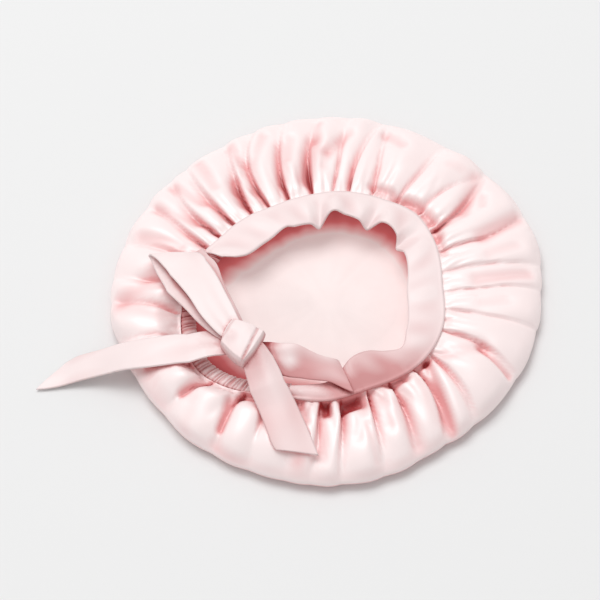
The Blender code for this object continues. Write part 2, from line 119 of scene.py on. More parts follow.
# valleys of the gathers: "spread" is how far a valley opens on its way out, and "side"
# which flank is the gentle one (1 towards rising bearings, -1 towards falling ones)
creases = columns("seam rim reach depth width bend spread side", [
    (10, 9, 1.00, 0.30, 0.50, 0, 0.2, -0.9), (22, 25, 1.00, 0.40, 0.60, -2, 0.3, -0.9),
    (33, 42, 1.00, 0.80, 1.10, -2, 0.8, -0.5), (44, 40, 0.70, 0.55, 0.80, 2, 0.6, 0.3),
    (56, 55, 0.85, 0.50, 1.00, 0, 0.8, 0.2), (67, 73, 1.00, 0.50, 0.90, 0, 0.9, 0.3),
    (78, 74, 1.00, 0.80, 1.00, 2, 1.0, 0.5), (86, 83, 0.70, 0.60, 0.70, 0, 0.8, 0.3),
    (96, 92, 0.90, 1.00, 1.10, 2, 1.0, 0.7), (108, 101, 1.00, 1.00, 1.00, 3, 0.9, 0.7),
    (119, 110, 1.00, 0.95, 0.80, 4, 0.8, 0.7), (129, 120, 1.00, 1.00, 1.00, 0, 0.9, 0.7),
    (139, 133, 1.00, 1.00, 0.90, 2, 0.9, 0.7), (149, 139, 0.90, 0.95, 0.90, 2, 0.9, 0.7),
    (157, 150, 0.95, 0.90, 1.10, 0, 1.0, 0.6), (165, 164, 0.90, 0.60, 1.30, 0, 1.0, 0.3),
    (176, 176, 0.90, 0.60, 1.20, 0, 1.0, -0.4), (188, 183, 0.85, 0.70, 1.20, 0, 1.0, -0.3),
    (200, 196, 0.70, 0.60, 1.00, 0, 0.8, 0.0), (210, 207, 0.60, 0.60, 0.90, 0, 0.7, 0.0),
    (222, 221, 0.80, 0.80, 1.00, 0, 0.8, 0.2), (235, 238, 0.85, 0.80, 0.90, 0, 0.9, 0.3),
    (246, 249, 0.60, 0.55, 0.80, 0, 0.6, 0.0), (257, 258, 0.60, 0.55, 0.80, 0, 0.6, 0.3),
    (268, 265, 0.85, 0.90, 0.80, 0, 0.9, 0.5), (277, 273, 0.95, 1.00, 1.00, 0, 1.0, 0.6),
    (290, 284, 0.95, 0.90, 1.00, 0, 1.0, 0.6), (301, 294, 0.75, 0.80, 0.90, 0, 0.9, 0.4),
    (314, 303, 1.00, 1.00, 1.00, 2, 0.9, 0.6), (325, 313, 0.90, 0.70, 0.90, 0, 0.7, -0.3),
    (338, 332, 0.90, 0.60, 0.70, 1, 0.4, -0.6), (349, 348, 1.00, 0.26, 0.50, 0, 0.2, -0.9),
    (359, 361, 1.00, 0.30, 0.50, 0, 0.2, -0.9)])

# hollows at the seam where the cloth is drawn in under the band; they are sunk into the cloth and
# also painted with deep shade
pockets = columns("bearing reach wide depth", [
    (281, 0.13, 5.0, 1.00), (270, 0.15, 1.8, 0.80), (303, 0.08, 6.0, 0.45),
    (318, 0.06, 5.0, 0.35), (239, 0.10, 5.0, 0.50), (62, 0.09, 5.5, 0.28),
    (50, 0.10, 5.0, 0.32), (39, 0.10, 4.0, 0.30), (29, 0.09, 3.0, 0.25)])

# soft troughs of the top cloth, sunk a little and painted with rose shade, from one end to the
# other in metres of the plan
troughs = columns("startX startY endX endY width depth", [
    (-0.074, 0.132, -0.065, 0.111, 0.0045, 1.0), (-0.065, 0.1, -0.069, 0.084, 0.004, 0.5),
    (-0.005, 0.155, -0.009, 0.134, 0.004, 0.8), (-0.009, 0.134, -0.016, 0.094, 0.006, 1.2),
    (0.018, 0.142, 0.001, 0.122, 0.005, 0.9), (0.001, 0.122, -0.001, 0.106, 0.004, 0.6),
    (-0.035, 0.13, -0.033, 0.092, 0.005, 0.8), (-0.048, 0.142, -0.056, 0.114, 0.004, 0.8),
    (-0.057, 0.106, -0.054, 0.084, 0.005, 0.7), (-0.098, 0.114, -0.085, 0.087, 0.005, 1.0),
    (-0.118, 0.094, -0.094, 0.072, 0.005, 0.9), (-0.128, 0.072, -0.098, 0.053, 0.005, 0.8),
    (-0.137, 0.043, -0.109, 0.032, 0.005, 1.0), (-0.149, -0.01, -0.128, 0.004, 0.008, 1.0),
    (-0.071, 0.092, -0.063, 0.072, 0.005, 0.9), (-0.027, 0.138, -0.029, 0.114, 0.004, 0.7),
    (0.048, 0.142, 0.059, 0.129, 0.005, 0.9), (0.116, 0.102, 0.102, 0.065, 0.0055, 0.9),
    (0.144, 0.065, 0.115, 0.041, 0.006, 1.0), (0.139, 0.034, 0.119, 0.024, 0.005, 0.6),
    (0.109, 0.002, 0.146, 0.011, 0.0055, 1.0), (0.111, -0.018, 0.129, -0.015, 0.005, 0.5),
    (0.081, -0.062, 0.108, -0.055, 0.006, 0.7), (0.108, -0.055, 0.127, -0.073, 0.0025, 1.2),
    (0.095, 0.109, 0.103, 0.106, 0.006, 0.5), (0.12, 0.082, 0.118, 0.07, 0.003, 0.7),
    (0.035, 0.087, 0.05, 0.081, 0.003, 0.9), (0.052, 0.075, 0.069, 0.07, 0.0035, 1.0),
    (0.072, 0.065, 0.082, 0.051, 0.0035, 0.9), (0.082, 0.041, 0.086, 0.026, 0.003, 0.7),
    (0.05, -0.1, 0.06, -0.127, 0.006, 0.9), (0.069, -0.066, 0.087, -0.121, 0.0032, 1.3),
    (0.063, -0.086, 0.077, -0.11, 0.007, 0.6), (0.036, -0.096, 0.042, -0.117, 0.004, 0.7),
    (0.027, -0.117, 0.032, -0.14, 0.003, 0.6), (-0.068, -0.096, -0.075, -0.118, 0.0025, 1.1),
    (-0.088, -0.08, -0.102, -0.09, 0.0028, 0.9), (-0.115, -0.094, -0.125, -0.076, 0.006, 0.6),
    (-0.077, -0.129, -0.061, -0.142, 0.005, 0.7), (-0.023, -0.09, -0.016, -0.114, 0.004, 1.0),
    (-0.147, -0.018, -0.121, -0.027, 0.009, 0.7), (-0.126, -0.066, -0.096, -0.063, 0.004, 1.0),
    (0.028, -0.084, 0.02, -0.125, 0.0045, 0.7), (-0.002, -0.117, -0.005, -0.14, 0.005, 0.5),
    (-0.095, -0.096, -0.099, -0.117, 0.006, 0.4)])

# painted shadows that the ribbons throw on the gathers, in metres of the plan
shades = columns("x y width depth", [
    (-0.021, -0.142, 0.0060, 0.7),
    (-0.027, -0.101, 0.0034, 1.2), (-0.022, -0.115, 0.0034, 1.2),
    (-0.081, -0.069, 0.0044, 1.2), (-0.071, -0.065, 0.0040, 1.0),
    (-0.087, -0.025, 0.0046, 1.2), (-0.093, -0.013, 0.0040, 0.9),
    (-0.005, -0.087, 0.0040, 1.2)])


def seamPoint(bearing):
    radius = ring["openingRadius"] * roundValue(seam, "radius", bearing)
    return ring["openingMiddle"] + radius[..., None] * plan(bearing)


def rimPoint(bearing):
    radius = ring["crownRadius"] * roundValue(outline, "radius", bearing)
    return radius[..., None] * plan(bearing)


def planPoint(bearing, reach):  # reach: 0 middle of the opening, 1 seam, 2 rim
    edge = seamPoint(bearing)
    inner = ring["openingMiddle"] + reach[..., None] * (edge - ring["openingMiddle"])
    outer = edge + (reach[..., None] - 1) * (rimPoint(bearing) - edge)
    return np.where(reach[..., None] < 1, inner, outer)


def ringTop(bearing, out, height):
    low = roundValue(seam, "height", bearing)
    return ring["ringHeight"] * height * (low + (1 - low) * smoothStep(out, 0.0, 0.38))


# camera, light and floor
view = {"lens": 85, "sensor": 36, "elevation": 57, "distance": 1.051,
        "target": (-0.020, 0.0, 0.0)}
studio = {
    "softboxAt": (-1.1, 1.6, 5.2), "softboxSize": (4.0, 3.0), "softboxPower": 184,
    "surround": 0.60, "floorSize": 12, "floorDrop": 0.0002, "paper": "#e6e6e6",
    "paperRoughness": 0.9, "paperGloss": 0.1,
}


def addCamera():
    data = bpy.data.cameras.new("camera")
    data.lens, data.sensor_width = view["lens"], view["sensor"]
    camera = bpy.data.objects.new("camera", data)
    bpy.context.scene.collection.objects.link(camera)
    tilt = math.radians(view["elevation"])
    back = Vector((0, -math.cos(tilt), math.sin(tilt)))
    camera.location = Vector(view["target"]) + back * view["distance"]
    camera.rotation_euler = (math.pi / 2 - tilt, 0, 0)
    bpy.context.scene.camera = camera


def addSoftbox():  # one wide light from the back left, turned towards the bonnet
    data = bpy.data.lights.new("backSoftbox", "AREA")
    data.shape = "RECTANGLE"
    data.size, data.size_y = studio["softboxSize"]
    data.energy = studio["softboxPower"]
    light = bpy.data.objects.new("backSoftbox", data)
    place = Vector(studio["softboxAt"])
    light.location = place
    light.rotation_euler = (-place).to_track_quat("-Z", "Y").to_euler()
    bpy.context.scene.collection.objects.link(light)


def addNode(tree, kind, settings=None, links=None):
    node = tree.nodes.new("ShaderNode" + kind)
    for name, value in (settings or {}).items():
        if name in node.inputs:
            node.inputs[name].default_value = value
        else:
            setattr(node, name, value)
    for name, socket in (links or {}).items():
        tree.links.new(socket, node.inputs[name])
    return node


def addStudio():
    scene = bpy.context.scene
    scene.view_settings.view_transform = "Standard"
    world = bpy.data.worlds.new("studio")
    world.use_nodes = True
    surround = world.node_tree.nodes["Background"]
    surround.inputs["Color"].default_value = linear("#ffffff")
    surround.inputs["Strength"].default_value = studio["surround"]
    scene.world = world
    addSoftbox()
    bpy.ops.mesh.primitive_plane_add(size=studio["floorSize"],
                                     location=(0, 0, -studio["floorDrop"]))
    floor = bpy.context.object
    floor.name = "floor"
    paper = bpy.data.materials.new("matte paper")
    paper.use_nodes = True
    shader = paper.node_tree.nodes["Principled BSDF"]
    shader.inputs["Base Color"].default_value = linear(studio["paper"])
    shader.inputs["Roughness"].default_value = studio["paperRoughness"]
    shader.inputs["Specular IOR Level"].default_value = studio["paperGloss"]
    floor.data.materials.append(paper)


# satin: its long threads give a pale pink body under a white sheen. The fold and deep colours are
# painted shade, for light that bounces between folds and comes back rose, and the glow is painted
# light, the satin giving off light of its own colour for light that comes through the thin cloth.
# "shallow" and "sunken" are the painted shade values between which the fold colour and the deep
# one set in, and the glow's "To" value is the one at which the glow is at its full strength.
satins = {
    "polyester satin": {
        "face": "#f8e7e6", "fold": "#db9b9b", "deep": "#a03436", "roughness": 0.42, "gloss": 0.8,
        "paintedGlow": 0.13, "paintedGlowTo": 0.60, "shallow": (0.05, 0.60), "sunken": (0.74, 1.00)},
    "satin ribbon": {
        "face": "#f0dfde", "fold": "#ca8a8a", "deep": "#9a2e30", "roughness": 0.46, "gloss": 0.5,
        "paintedGlow": 0.04, "paintedGlowTo": 0.60, "shallow": (0.05, 0.60), "sunken": (0.74, 1.00)},
    "satin reverse": {
        "face": "#e7dad8", "fold": "#d8787a", "deep": "#8c2024", "roughness": 0.6, "gloss": 0.3,
        "paintedGlow": 0.34, "paintedGlowTo": 0.40, "shallow": (0.36, 0.56), "sunken": (0.50, 0.80)},
}
# all three: cloudy patches of 17 mm, and wrinkles of 7 mm that break up the highlights
weave = {"paintedGlowFrom": -0.12, "ior": 1.6, "cloudScale": 60, "clouds": 0.10, "wrinkleScale": 140,
         "wrinkles": 0.10, "wrinkleDepth": 0.0006}


def makeSatin(name):
    look = satins[name]
    material = bpy.data.materials.new(name)
    material.use_nodes = True
    tree = material.node_tree
    shader = tree.nodes["Principled BSDF"]
    place = addNode(tree, "TexCoord").outputs["Object"]
    # the painted shade value that each piece keeps on its corners
    paintedShade = addNode(tree, "Attribute", {"attribute_name": "paintedShade"}).outputs["Fac"]
    shallow, sunken = (
        addNode(tree, "MapRange", {"From Min": look[key][0], "From Max": look[key][1]},
                {"Value": paintedShade}) for key in ("shallow", "sunken"))
    # painted shade: the fold colour and then the deep colour come in as the painted shade value
    # rises
    face, fold, deep = (linear(look[key]) for key in ("face", "fold", "deep"))
    tone = addNode(tree, "MixRGB", {"Color1": face, "Color2": fold}, {"Fac": shallow.outputs[0]})
    tone = addNode(tree, "MixRGB", {"Color2": deep},
                   {"Fac": sunken.outputs[0], "Color1": tone.outputs[0]})
    cloud = addNode(tree, "TexNoise", {"Scale": weave["cloudScale"], "Detail": 2},
                    {"Vector": place})
    tint = addNode(tree, "MixRGB", {"blend_type": "SOFT_LIGHT", "Fac": weave["clouds"]},
                   {"Color1": tone.outputs[0], "Color2": cloud.outputs["Fac"]})
    tree.links.new(tint.outputs[0], shader.inputs["Base Color"])
    # painted glow: the satin gives off light of its own colour, more where the painted shade value
    # is high, though it is no lamp
    paintedGlowStrength = addNode(tree, "MapRange", {"From Min": weave["paintedGlowFrom"], "From Max": look["paintedGlowTo"],
                                         "To Max": look["paintedGlow"]}, {"Value": paintedShade})
    tree.links.new(tint.outputs[0], shader.inputs["Emission Color"])
    tree.links.new(paintedGlowStrength.outputs[0], shader.inputs["Emission Strength"])
    wrinkle = addNode(tree, "TexNoise", {"Scale": weave["wrinkleScale"], "Detail": 3},
                      {"Vector": place})
    bump = addNode(tree, "Bump", {"Strength": weave["wrinkles"],
                                  "Distance": weave["wrinkleDepth"]},
                   {"Height": wrinkle.outputs["Fac"]})
    tree.links.new(bump.outputs[0], shader.inputs["Normal"])
    shader.inputs["Roughness"].default_value = look["roughness"]
    shader.inputs["IOR"].default_value = weave["ior"]
    shader.inputs["Specular IOR Level"].default_value = look["gloss"]
    return material


def makePiece(name, shape, place, materials, nodes):
    # shape is a bmesh in coordinates of its own, and place turns an array of them into metres
    mesh = bpy.data.meshes.new(name)
    shape.to_mesh(mesh)
    shape.free()
    flat = np.empty(len(mesh.vertices) * 3)
    mesh.vertices.foreach_get("co", flat)
    points, values = place(flat.reshape(-1, 3))
    mesh.vertices.foreach_set("co", np.ascontiguousarray(points, dtype=np.float32).ravel())
    for title in ("paintedShade", "under"):
        layer = mesh.attributes.new(title, "FLOAT", "POINT")
        value = values.get(title, np.zeros(len(points)))
        layer.data.foreach_set("value", np.ascontiguousarray(value, dtype=np.float32))
    mesh.update()
    mesh.shade_smooth()
    for material in materials:
        mesh.materials.append(material)
    piece = bpy.data.objects.new(name, mesh)
    bpy.context.scene.collection.objects.link(piece)
    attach(piece, "root")
    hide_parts(*nodes)
    return piece


def addWall(piece, thickness, offset):  # gives open cloth its thickness
    wall = piece.modifiers.new("wall", "SOLIDIFY")
    wall.thickness, wall.offset = thickness, offset
    return wall


def faceUp(piece):  # open cloth: its faces point up before it gets a wall
    if sum(face.normal.z * face.area for face in piece.data.polygons) < 0:
        shape = bmesh.new()
        shape.from_mesh(piece.data)
        bmesh.ops.reverse_faces(shape, faces=shape.faces)
        shape.to_mesh(piece.data)
        shape.free()


# crown: one disc of satin, gathered on the seam
crown = {
    "around": 600, "rows": 52, "foldDepth": 0.0088, "foldWidth": 0.0028, "lip": 0.0010,
    "lobe": 0.14, "lobeSpan": 0.042, "lobeBase": 0.009, "deepest": 1.35, "fineFolds": 120,
    "fineDepth": 0.0016, "fineWidth": 0.0016, "pocketDepth": 0.011, "lean": 0.35, "waves": 26,
    "waveHeight": 0.0009, "waveScale": 2.2, "troughDepth": 0.0034, "troughWidth": 1.1,
    "scallop": 0.9, "lineWidth": 0.0010, "lineFrom": 0.75, "underRows": 4,
}
# how much painted shade each kind of fold adds, which turns the satin rose
paintedShadeWeights = {"valley": 0.3, "pocket": 1.0, "fine": 0.1, "trough": 0.50, "line": 0.9, "front": 0.35}


def foldField(bearing, out, radius):
    # valleys with one steep and one gentle flank, and lobes that swell between them
    count = len(bearing)
    depth, lip, lean, line = (np.zeros(count) for _ in range(4))
    before, after = np.full(count, 90.0), np.full(count, 90.0)
    skewBefore, skewAfter, swell = np.zeros(count), np.zeros(count), np.zeros(count)
    for row in range(len(creases["seam"])):
        c = {name: creases[name][row] for name in creases}
        path = c["seam"] + out * (c["rim"] - c["seam"]) + c["bend"] * np.sin(np.pi * out)
        path = path + 1.1 * np.sin(5.1 * out + 2.3 * row) * out * (1.2 - out)  # no two run alike
        turn = (bearing - path + 180) % 360 - 180
        nearer = (turn >= 0) & (turn < before)
        before[nearer], skewBefore[nearer] = turn[nearer], c["side"]
        swell[nearer] = np.sin(4.3 * out[nearer] + 1.7 * row)
        nearer = (turn < 0) & (-turn < after)
        after[nearer], skewAfter[nearer] = -turn[nearer], c["side"]
        away = np.radians(turn) * radius
        width = crown["foldWidth"] * c["width"] * (0.28 + 0.75 * c["spread"] * out)
        lopsided = abs(c["side"])
        flank = np.where(away * c["side"] > 0, 1 + 1.2 * lopsided, 1 - 0.45 * lopsided)
        far = away / (width * flank)
        soft = 0.10 + 0.7 * out * c["spread"]
        fade = np.clip(1 - (out / (c["reach"] + 0.12)) ** 3, 0, 1)
        valley = c["depth"] * fade * np.exp(soft - np.sqrt(far ** 2 + soft ** 2))
        valley = valley * (1 - 0.45 * out)
        depth += valley
        lean += valley * c["side"]
        if c["depth"] > crown["lineFrom"]:  # a thin painted dark line of shade where the flanks meet
            narrow = np.exp(-(away / crown["lineWidth"]) ** 2)
            line += c["depth"] * narrow * (1 - smoothStep(out, 0.15, 0.5))
        steep = away * (-1 if c["side"] > 0 else 1)
        lip += c["depth"] * fade * np.exp(-((steep - 1.9 * width) / (0.9 * width)) ** 2)
    spacing = before + after
    across = before / np.maximum(spacing, 0.01)
    power = 2 ** (0.45 * (skewBefore + skewAfter))  # leans the crest towards the steep flank
    span = np.minimum(np.radians(spacing) * radius, crown["lobeSpan"])
    lobe = np.sin(np.pi * across ** power) ** 1.1 * span * (1 + 0.3 * swell)
    return np.minimum(depth, crown["deepest"]), lip, lean, lobe, np.minimum(line, 1)


def fineField(bearing, out, radius):  # the many short gathers between the main ones
    depth = np.zeros(len(bearing))
    for fold in range(crown["fineFolds"]):
        start = 360 * (fold + random.uniform(-0.45, 0.45)) / crown["fineFolds"]
        reach, swing = random.uniform(0.12, 0.85), random.uniform(-7, 7)
        size, curl = random.uniform(0.3, 1.0), random.uniform(-2, 2)
        turn = (bearing - start - swing * out - curl * np.sin(6 * out) + 180) % 360 - 180
        far = np.radians(turn) * radius / (crown["fineWidth"] * (0.7 + 2.6 * out))
        depth += size * np.clip(1 - (out / reach) ** 2, 0, 1) * np.exp(-np.abs(far) ** 1.5)
    return depth


def waveField(bearing, out):  # slow swells that run along and across the folds
    height = np.zeros(len(bearing))
    for _ in range(crown["waves"]):
        turns, along = random.integers(5, 46), random.uniform(-4, 4)
        phase = random.uniform(0, 2 * np.pi)
        swirled = np.radians(bearing) + 0.35 * np.sin(3 * out + phase) * 0.1
        height += np.sin(turns * swirled + along * out * 2 + phase) / turns ** 0.5
    return height / crown["waveScale"]


def troughField(place):  # soft strokes between two points
    depth = np.zeros(len(place))
    for row in range(len(troughs["width"])):
        t = {name: troughs[name][row] for name in troughs}
        start, end = np.array([t["startX"], t["startY"]]), np.array([t["endX"], t["endY"]])
        share = np.clip((place - start) @ (end - start) / np.sum((end - start) ** 2), 0, 1)
        away = np.hypot(*(place - start - share[:, None] * (end - start)).T)
        depth += t["depth"] * np.exp(-(away / (crown["troughWidth"] * t["width"])) ** 2)
    return depth


def shadeField(place):  # round patches of painted shadow
    depth = np.zeros(len(place))
    for x, y, width, dark in zip(*shades.values()):
        depth += dark * np.exp(-(np.hypot(place[:, 0] - x, place[:, 1] - y) / width) ** 2)
    return depth


def pocketField(bearing, out):  # closed in along the seam, and gone at about twice their reach
    depth = np.zeros(len(bearing))
    for middle, reach, wide, deep in zip(*pockets.values()):
        turn = (bearing - middle + 180) % 360 - 180
        across = np.exp(-np.abs(turn / wide) ** 4)
        depth += deep * across * (1 - smoothStep(out, reach, 2.1 * reach))
    return depth


def placeCrown(flat):  # distance from the middle is a row of the section, and the angle a bearing
    station = np.hypot(flat[:, 0], flat[:, 1]) - 1
    bearing = np.degrees(np.arctan2(flat[:, 1], flat[:, 0]))
    last = len(profile["out"]) - 1
    row = np.minimum(station, last)
    out, inset, height, sink, pull = (lineValue(profile, name, row) for name in profile)
    out = np.clip(out, 0, 1)
    place = planPoint(bearing, 1 + out)
    radius = np.hypot(*(place - ring["openingMiddle"]).T)
    depth, lip, side, lobe, line = foldField(bearing, out, radius)
    fine = fineField(bearing, out, radius) * smoothStep(out, 0.0, 0.04)
    fine = fine * (1 - smoothStep(out, 0.75, 1.0))
    swell = waveField(bearing, out) * smoothStep(out, 0.04, 0.3)
    pocket = pocketField(bearing, out) * smoothStep(out, 0.0, 0.02)
    trough = troughField(place) * smoothStep(out, 0.0, 0.06)
    drop = crown["foldDepth"] * depth
    lip = lip * smoothStep(out, 0.04, 0.12)
    lobe = crown["lobe"] * (lobe - crown["lobeBase"]) * (1 - 0.35 * out)
    lobe = lobe * smoothStep(out, 0.045, 0.15)
    lobe = lobe * (1 - 0.6 * smoothStep(out, 0.86, 1.0))
    outward = plan(bearing)
    sideways = np.stack([-outward[:, 1], outward[:, 0]], axis=-1)
    scallop = crown["scallop"] * lobe * smoothStep(out, 0.5, 1.0) * (1 - 0.6 * inset)
    place = place + (scallop - inset * ring["rimDepth"] - pull * drop)[:, None] * outward
    lean = crown["lean"] * crown["foldDepth"] * side * sink
    place = place - lean[:, None] * sideways
    folds = crown["lip"] * lip - drop - crown["fineDepth"] * fine + crown["waveHeight"] * swell
    top = (sink * folds + lobe * np.minimum(2.5 * sink, 1) - crown["pocketDepth"] * pocket
           - crown["troughDepth"] * trough * np.minimum(2 * sink, 1))
    level = ringTop(bearing, out, height) + top
    level = np.where(station >= last, 0.0, np.maximum(level, 0.0))
    shrink = np.where(station > last, 1 - (station - last) / crown["underRows"], 1.0)
    place = place * shrink[:, None]
    near = 1 - smoothStep(out, 0.10, 0.55)
    front = np.clip(-outward[:, 1], 0, 1)  # painted shade on the rim at the front, which faces away from the light
    # painted shade: rose in the valleys near the seam, the pockets, the fine gathers and troughs,
    # a dark line in the deepest valleys, the front rim and the ribbons' painted shadows, on the
    # top cloth only
    paintedShade = np.clip(depth - 0.45, 0, 1) * near * paintedShadeWeights["valley"] + pocket * paintedShadeWeights["pocket"]
    paintedShade += fine * paintedShadeWeights["fine"] * near + trough * paintedShadeWeights["trough"] + line * paintedShadeWeights["line"]
    paintedShade += paintedShadeWeights["front"] * front * smoothStep(out, 0.82, 1.0)
    paintedShade = (paintedShade + shadeField(place)) * np.minimum(sink * 3, 1)
    return np.column_stack([place, level]), {
        "paintedShade": np.clip(paintedShade, 0, 2), "under": station > last - 0.7}


def makeCrown(satin, reverse):
    shape = bmesh.new()
    last = len(profile["out"]) - 1
    # the underside's rows are finest where the shadow of the band ends
    under = np.concatenate([[0.35, 0.7], np.arange(1.0, 2.6, 0.1), [3.0, 3.6]])
    rows = np.concatenate([np.linspace(0, last, crown["rows"]), last + under])
    line = [shape.verts.new((1.0 + row, 0, 0)) for row in rows]
    edges = [shape.edges.new(pair) for pair in zip(line, line[1:])]
    bmesh.ops.spin(shape, geom=line + edges, cent=(0, 0, 0), axis=(0, 0, 1),
                   angle=2 * math.pi, steps=crown["around"], use_merge=True)
    innermost = max(vert.co.to_2d().length for vert in shape.verts)
    middle = [edge for edge in shape.edges
              if all(vert.co.to_2d().length > innermost - 0.01 for vert in edge.verts)]
    bmesh.ops.holes_fill(shape, edges=middle, sides=0)
    piece = makePiece("gatheredCrown", shape, placeCrown, [satin, reverse],
                      ["crown"])
    mesh = piece.data
    low = [face for face in mesh.polygons if face.center.z < 0.0001 and len(face.vertices) < 9]
    if low[0].normal.z > 0:  # the underside's faces point down, so all faces point outwards
        mesh.flip_normals()
    wall = addWall(piece, ring["cloth"], -1)
    wall.material_offset, wall.material_offset_rim = 1, 0  # the inside shows the reverse
    return piece


# band: "lap" is the share of its width that lies on the crown, and the part round "awayFrom" faces
# away from the light and gets painted shade
band = {"start": 252.5, "end": 520.0, "steps": 540, "rows": 14, "width": 0.026,
        "thickness": 0.0016, "bulge": 0.0007, "overlap": 0.0025, "lap": 0.10, "ripple": 0.0022,
        "awayFrom": 292, "awaySpan": 30}

bandEdge = columns("bearing width height", [
    (252, 0.26, 0.84), (262, 0.36, 0.84), (276, 0.56, 0.86), (286, 0.86, 1.10),
    (300, 0.92, 1.08), (309, 0.72, 1.04), (317, 0.58, 1.02), (328, 0.80, 1.02),
    (345, 0.95, 1.02), (371, 0.88, 1.04), (389, 0.88, 1.00), (396, 1.00, 0.80),
    (402, 0.82, 1.04), (413, 0.76, 1.12), (420, 0.98, 0.82), (427, 0.86, 1.04),
    (437, 0.78, 1.10), (445, 0.72, 1.18), (453, 1.02, 0.82), (460, 0.90, 1.00),
    (472, 0.84, 1.04), (478, 0.76, 1.06), (490, 0.92, 1.00), (502, 0.96, 1.00),
    (513, 0.92, 1.02), (517, 0.78, 1.04), (520, 0.46, 1.04)])


def placeBand(flat):
    along, side = flat[:, 0] + 0.5, flat[:, 1] + 0.5
    bearing = band["start"] + (band["end"] - band["start"]) * along
    outward = plan(bearing)
    position = np.interp(bearing, bandEdge["bearing"], range(len(bandEdge["bearing"])))
    width = band["width"] * lineValue(bandEdge, "width", position)
    edge = ring["ringHeight"] * lineValue(bandEdge, "height", position)
    share = np.clip((side - band["lap"]) / (1 - band["lap"]), 0, 1)
    over = np.clip(1 - side / band["lap"], 0, 1) * band["overlap"]
    start = ringTop(bearing, np.zeros_like(bearing), 1.0) + ring["gap"]
    place = seamPoint(bearing) + (over - width * share)[:, None] * outward
    bulge = band["bulge"] * np.sin(np.pi * share)
    level = start + (edge - start) * share + bulge + over * 0.05
    away = np.exp(-((bearing - band["awayFrom"]) / band["awaySpan"]) ** 2)
    ripple = np.sin(bearing * 0.31 + 2.5 * share) * np.sin(bearing * 0.117 + 1)
    ripple = ripple * share * (1 - share)
    level = level + band["ripple"] * ripple
    # painted shade: a little rose over the whole band, more on the part turned from the light and
    # towards its seam, darker in the ripples' dips and lighter on their crests
    paintedShade = 0.18 + 1.32 * away * (1 - 0.6 * share) - 0.9 * ripple
    return np.column_stack([place, level]), {"paintedShade": np.clip(paintedShade, 0, 2)}


def makeGrid(steps, rows):
    shape = bmesh.new()
    bmesh.ops.create_grid(shape, x_segments=steps, y_segments=rows, size=0.5)
    return shape


def makeBand(satin):
    shape = makeGrid(band["steps"], band["rows"])
    piece = makePiece("openingBand", shape, placeBand, [satin], ["band"])
    faceUp(piece)
    addWall(piece, band["thickness"], 1)
    return piece


# elastic casing: half a ring with a round section, "tube" in radius before it is placed
elastic = {"start": 160.2, "end": 252.3, "ribs": 54, "steps": 6, "width": 0.011,
           "thickness": 0.004, "rib": 0.0009, "sides": 20, "tube": 0.25}


def placeElastic(flat):
    turned = np.arctan2(np.abs(flat[:, 1]), flat[:, 0]) / np.pi
    bearing = elastic["start"] + (elastic["end"] - elastic["start"]) * turned
    phase = turned * elastic["ribs"] * 2 * np.pi
    phase = phase + 1.3 * np.sin(0.44 * phase) + 0.9 * np.sin(0.19 * phase + 1)  # uneven gathers
    rib = elastic["rib"] * (np.cos(phase) * (0.75 + 0.35 * np.sin(0.31 * phase)) - 0.3)
    side = (np.hypot(flat[:, 0], flat[:, 1]) - 1) / elastic["tube"]
    lift = flat[:, 2] / elastic["tube"]
    middle = seamPoint(bearing) - (ring["gap"] + elastic["width"] / 2) * plan(bearing)
    level = ring["ringHeight"] * roundValue(seam, "height", bearing) - ring["cloth"] / 2
    place = middle + (side * (elastic["width"] / 2 + rib * 0.4))[:, None] * plan(bearing)
    height = level + (elastic["thickness"] / 2 + rib) * lift
    covered = 1 - smoothStep(turned, 0.25, 0.5)  # the end below the loop gets a painted shadow of it
    # painted shade between the ribs, and the painted shadow of the loop
    paintedShade = np.clip(-np.cos(phase), 0, 1) * 0.6 + 1.2 * covered
    return np.column_stack([place, height]), {"paintedShade": np.clip(paintedShade, 0, 2)}


def makeElastic(satin):
    shape = bmesh.new()
    turn = Matrix.Translation((1, 0, 0)) @ Matrix.Rotation(math.pi / 2, 4, "X")
    bmesh.ops.create_circle(shape, segments=elastic["sides"], radius=elastic["tube"], matrix=turn)
    bmesh.ops.spin(shape, geom=shape.verts[:] + shape.edges[:], cent=(0, 0, 0),
                   axis=(0, 0, 1), angle=math.pi, steps=elastic["ribs"] * elastic["steps"])
    bmesh.ops.holes_fill(shape, edges=[e for e in shape.edges if e.is_boundary], sides=0)
    bmesh.ops.recalc_face_normals(shape, faces=shape.faces)
    return makePiece("elasticCasing", shape, placeElastic, [satin],
                     ["elastic_casing"])


# ribbons
ribbon = {"width": 0.027, "thickness": 0.0016, "bulge": 0.0006, "rows": 24, "steps": 16,
          "pleat": 0.0007, "wrinkle": 0.0005}
# the piece's name, which of its ends are drawn into the knot, how much painted shade it gets for
# being turned from the light and how much more towards its front edge, and where its wrinkles
# start
ribbonLook = {
    "tie_left": ("leftTie", 0, 1, 0.60, 0.2, 0.4),
    "tie_right": ("rightTie", 0, 1, 1.0, 0.45, 1.1),
    "tail_left": ("leftTail", 1, 0, 0.08, 0.0, 2.3),
    "tail_right": ("rightTail", 1, 0, 0.48, 0.1, 3.0),
    "bow_loop": ("bowLoop", 1, 1, 0.0, 0.0, 4.2)}
# stations along each ribbon: where its middle is, how many layers lie below it, how wide it is,
# which way its width points and how far it is rolled
ribbonColumns = "bearing reach height layers width across roll"

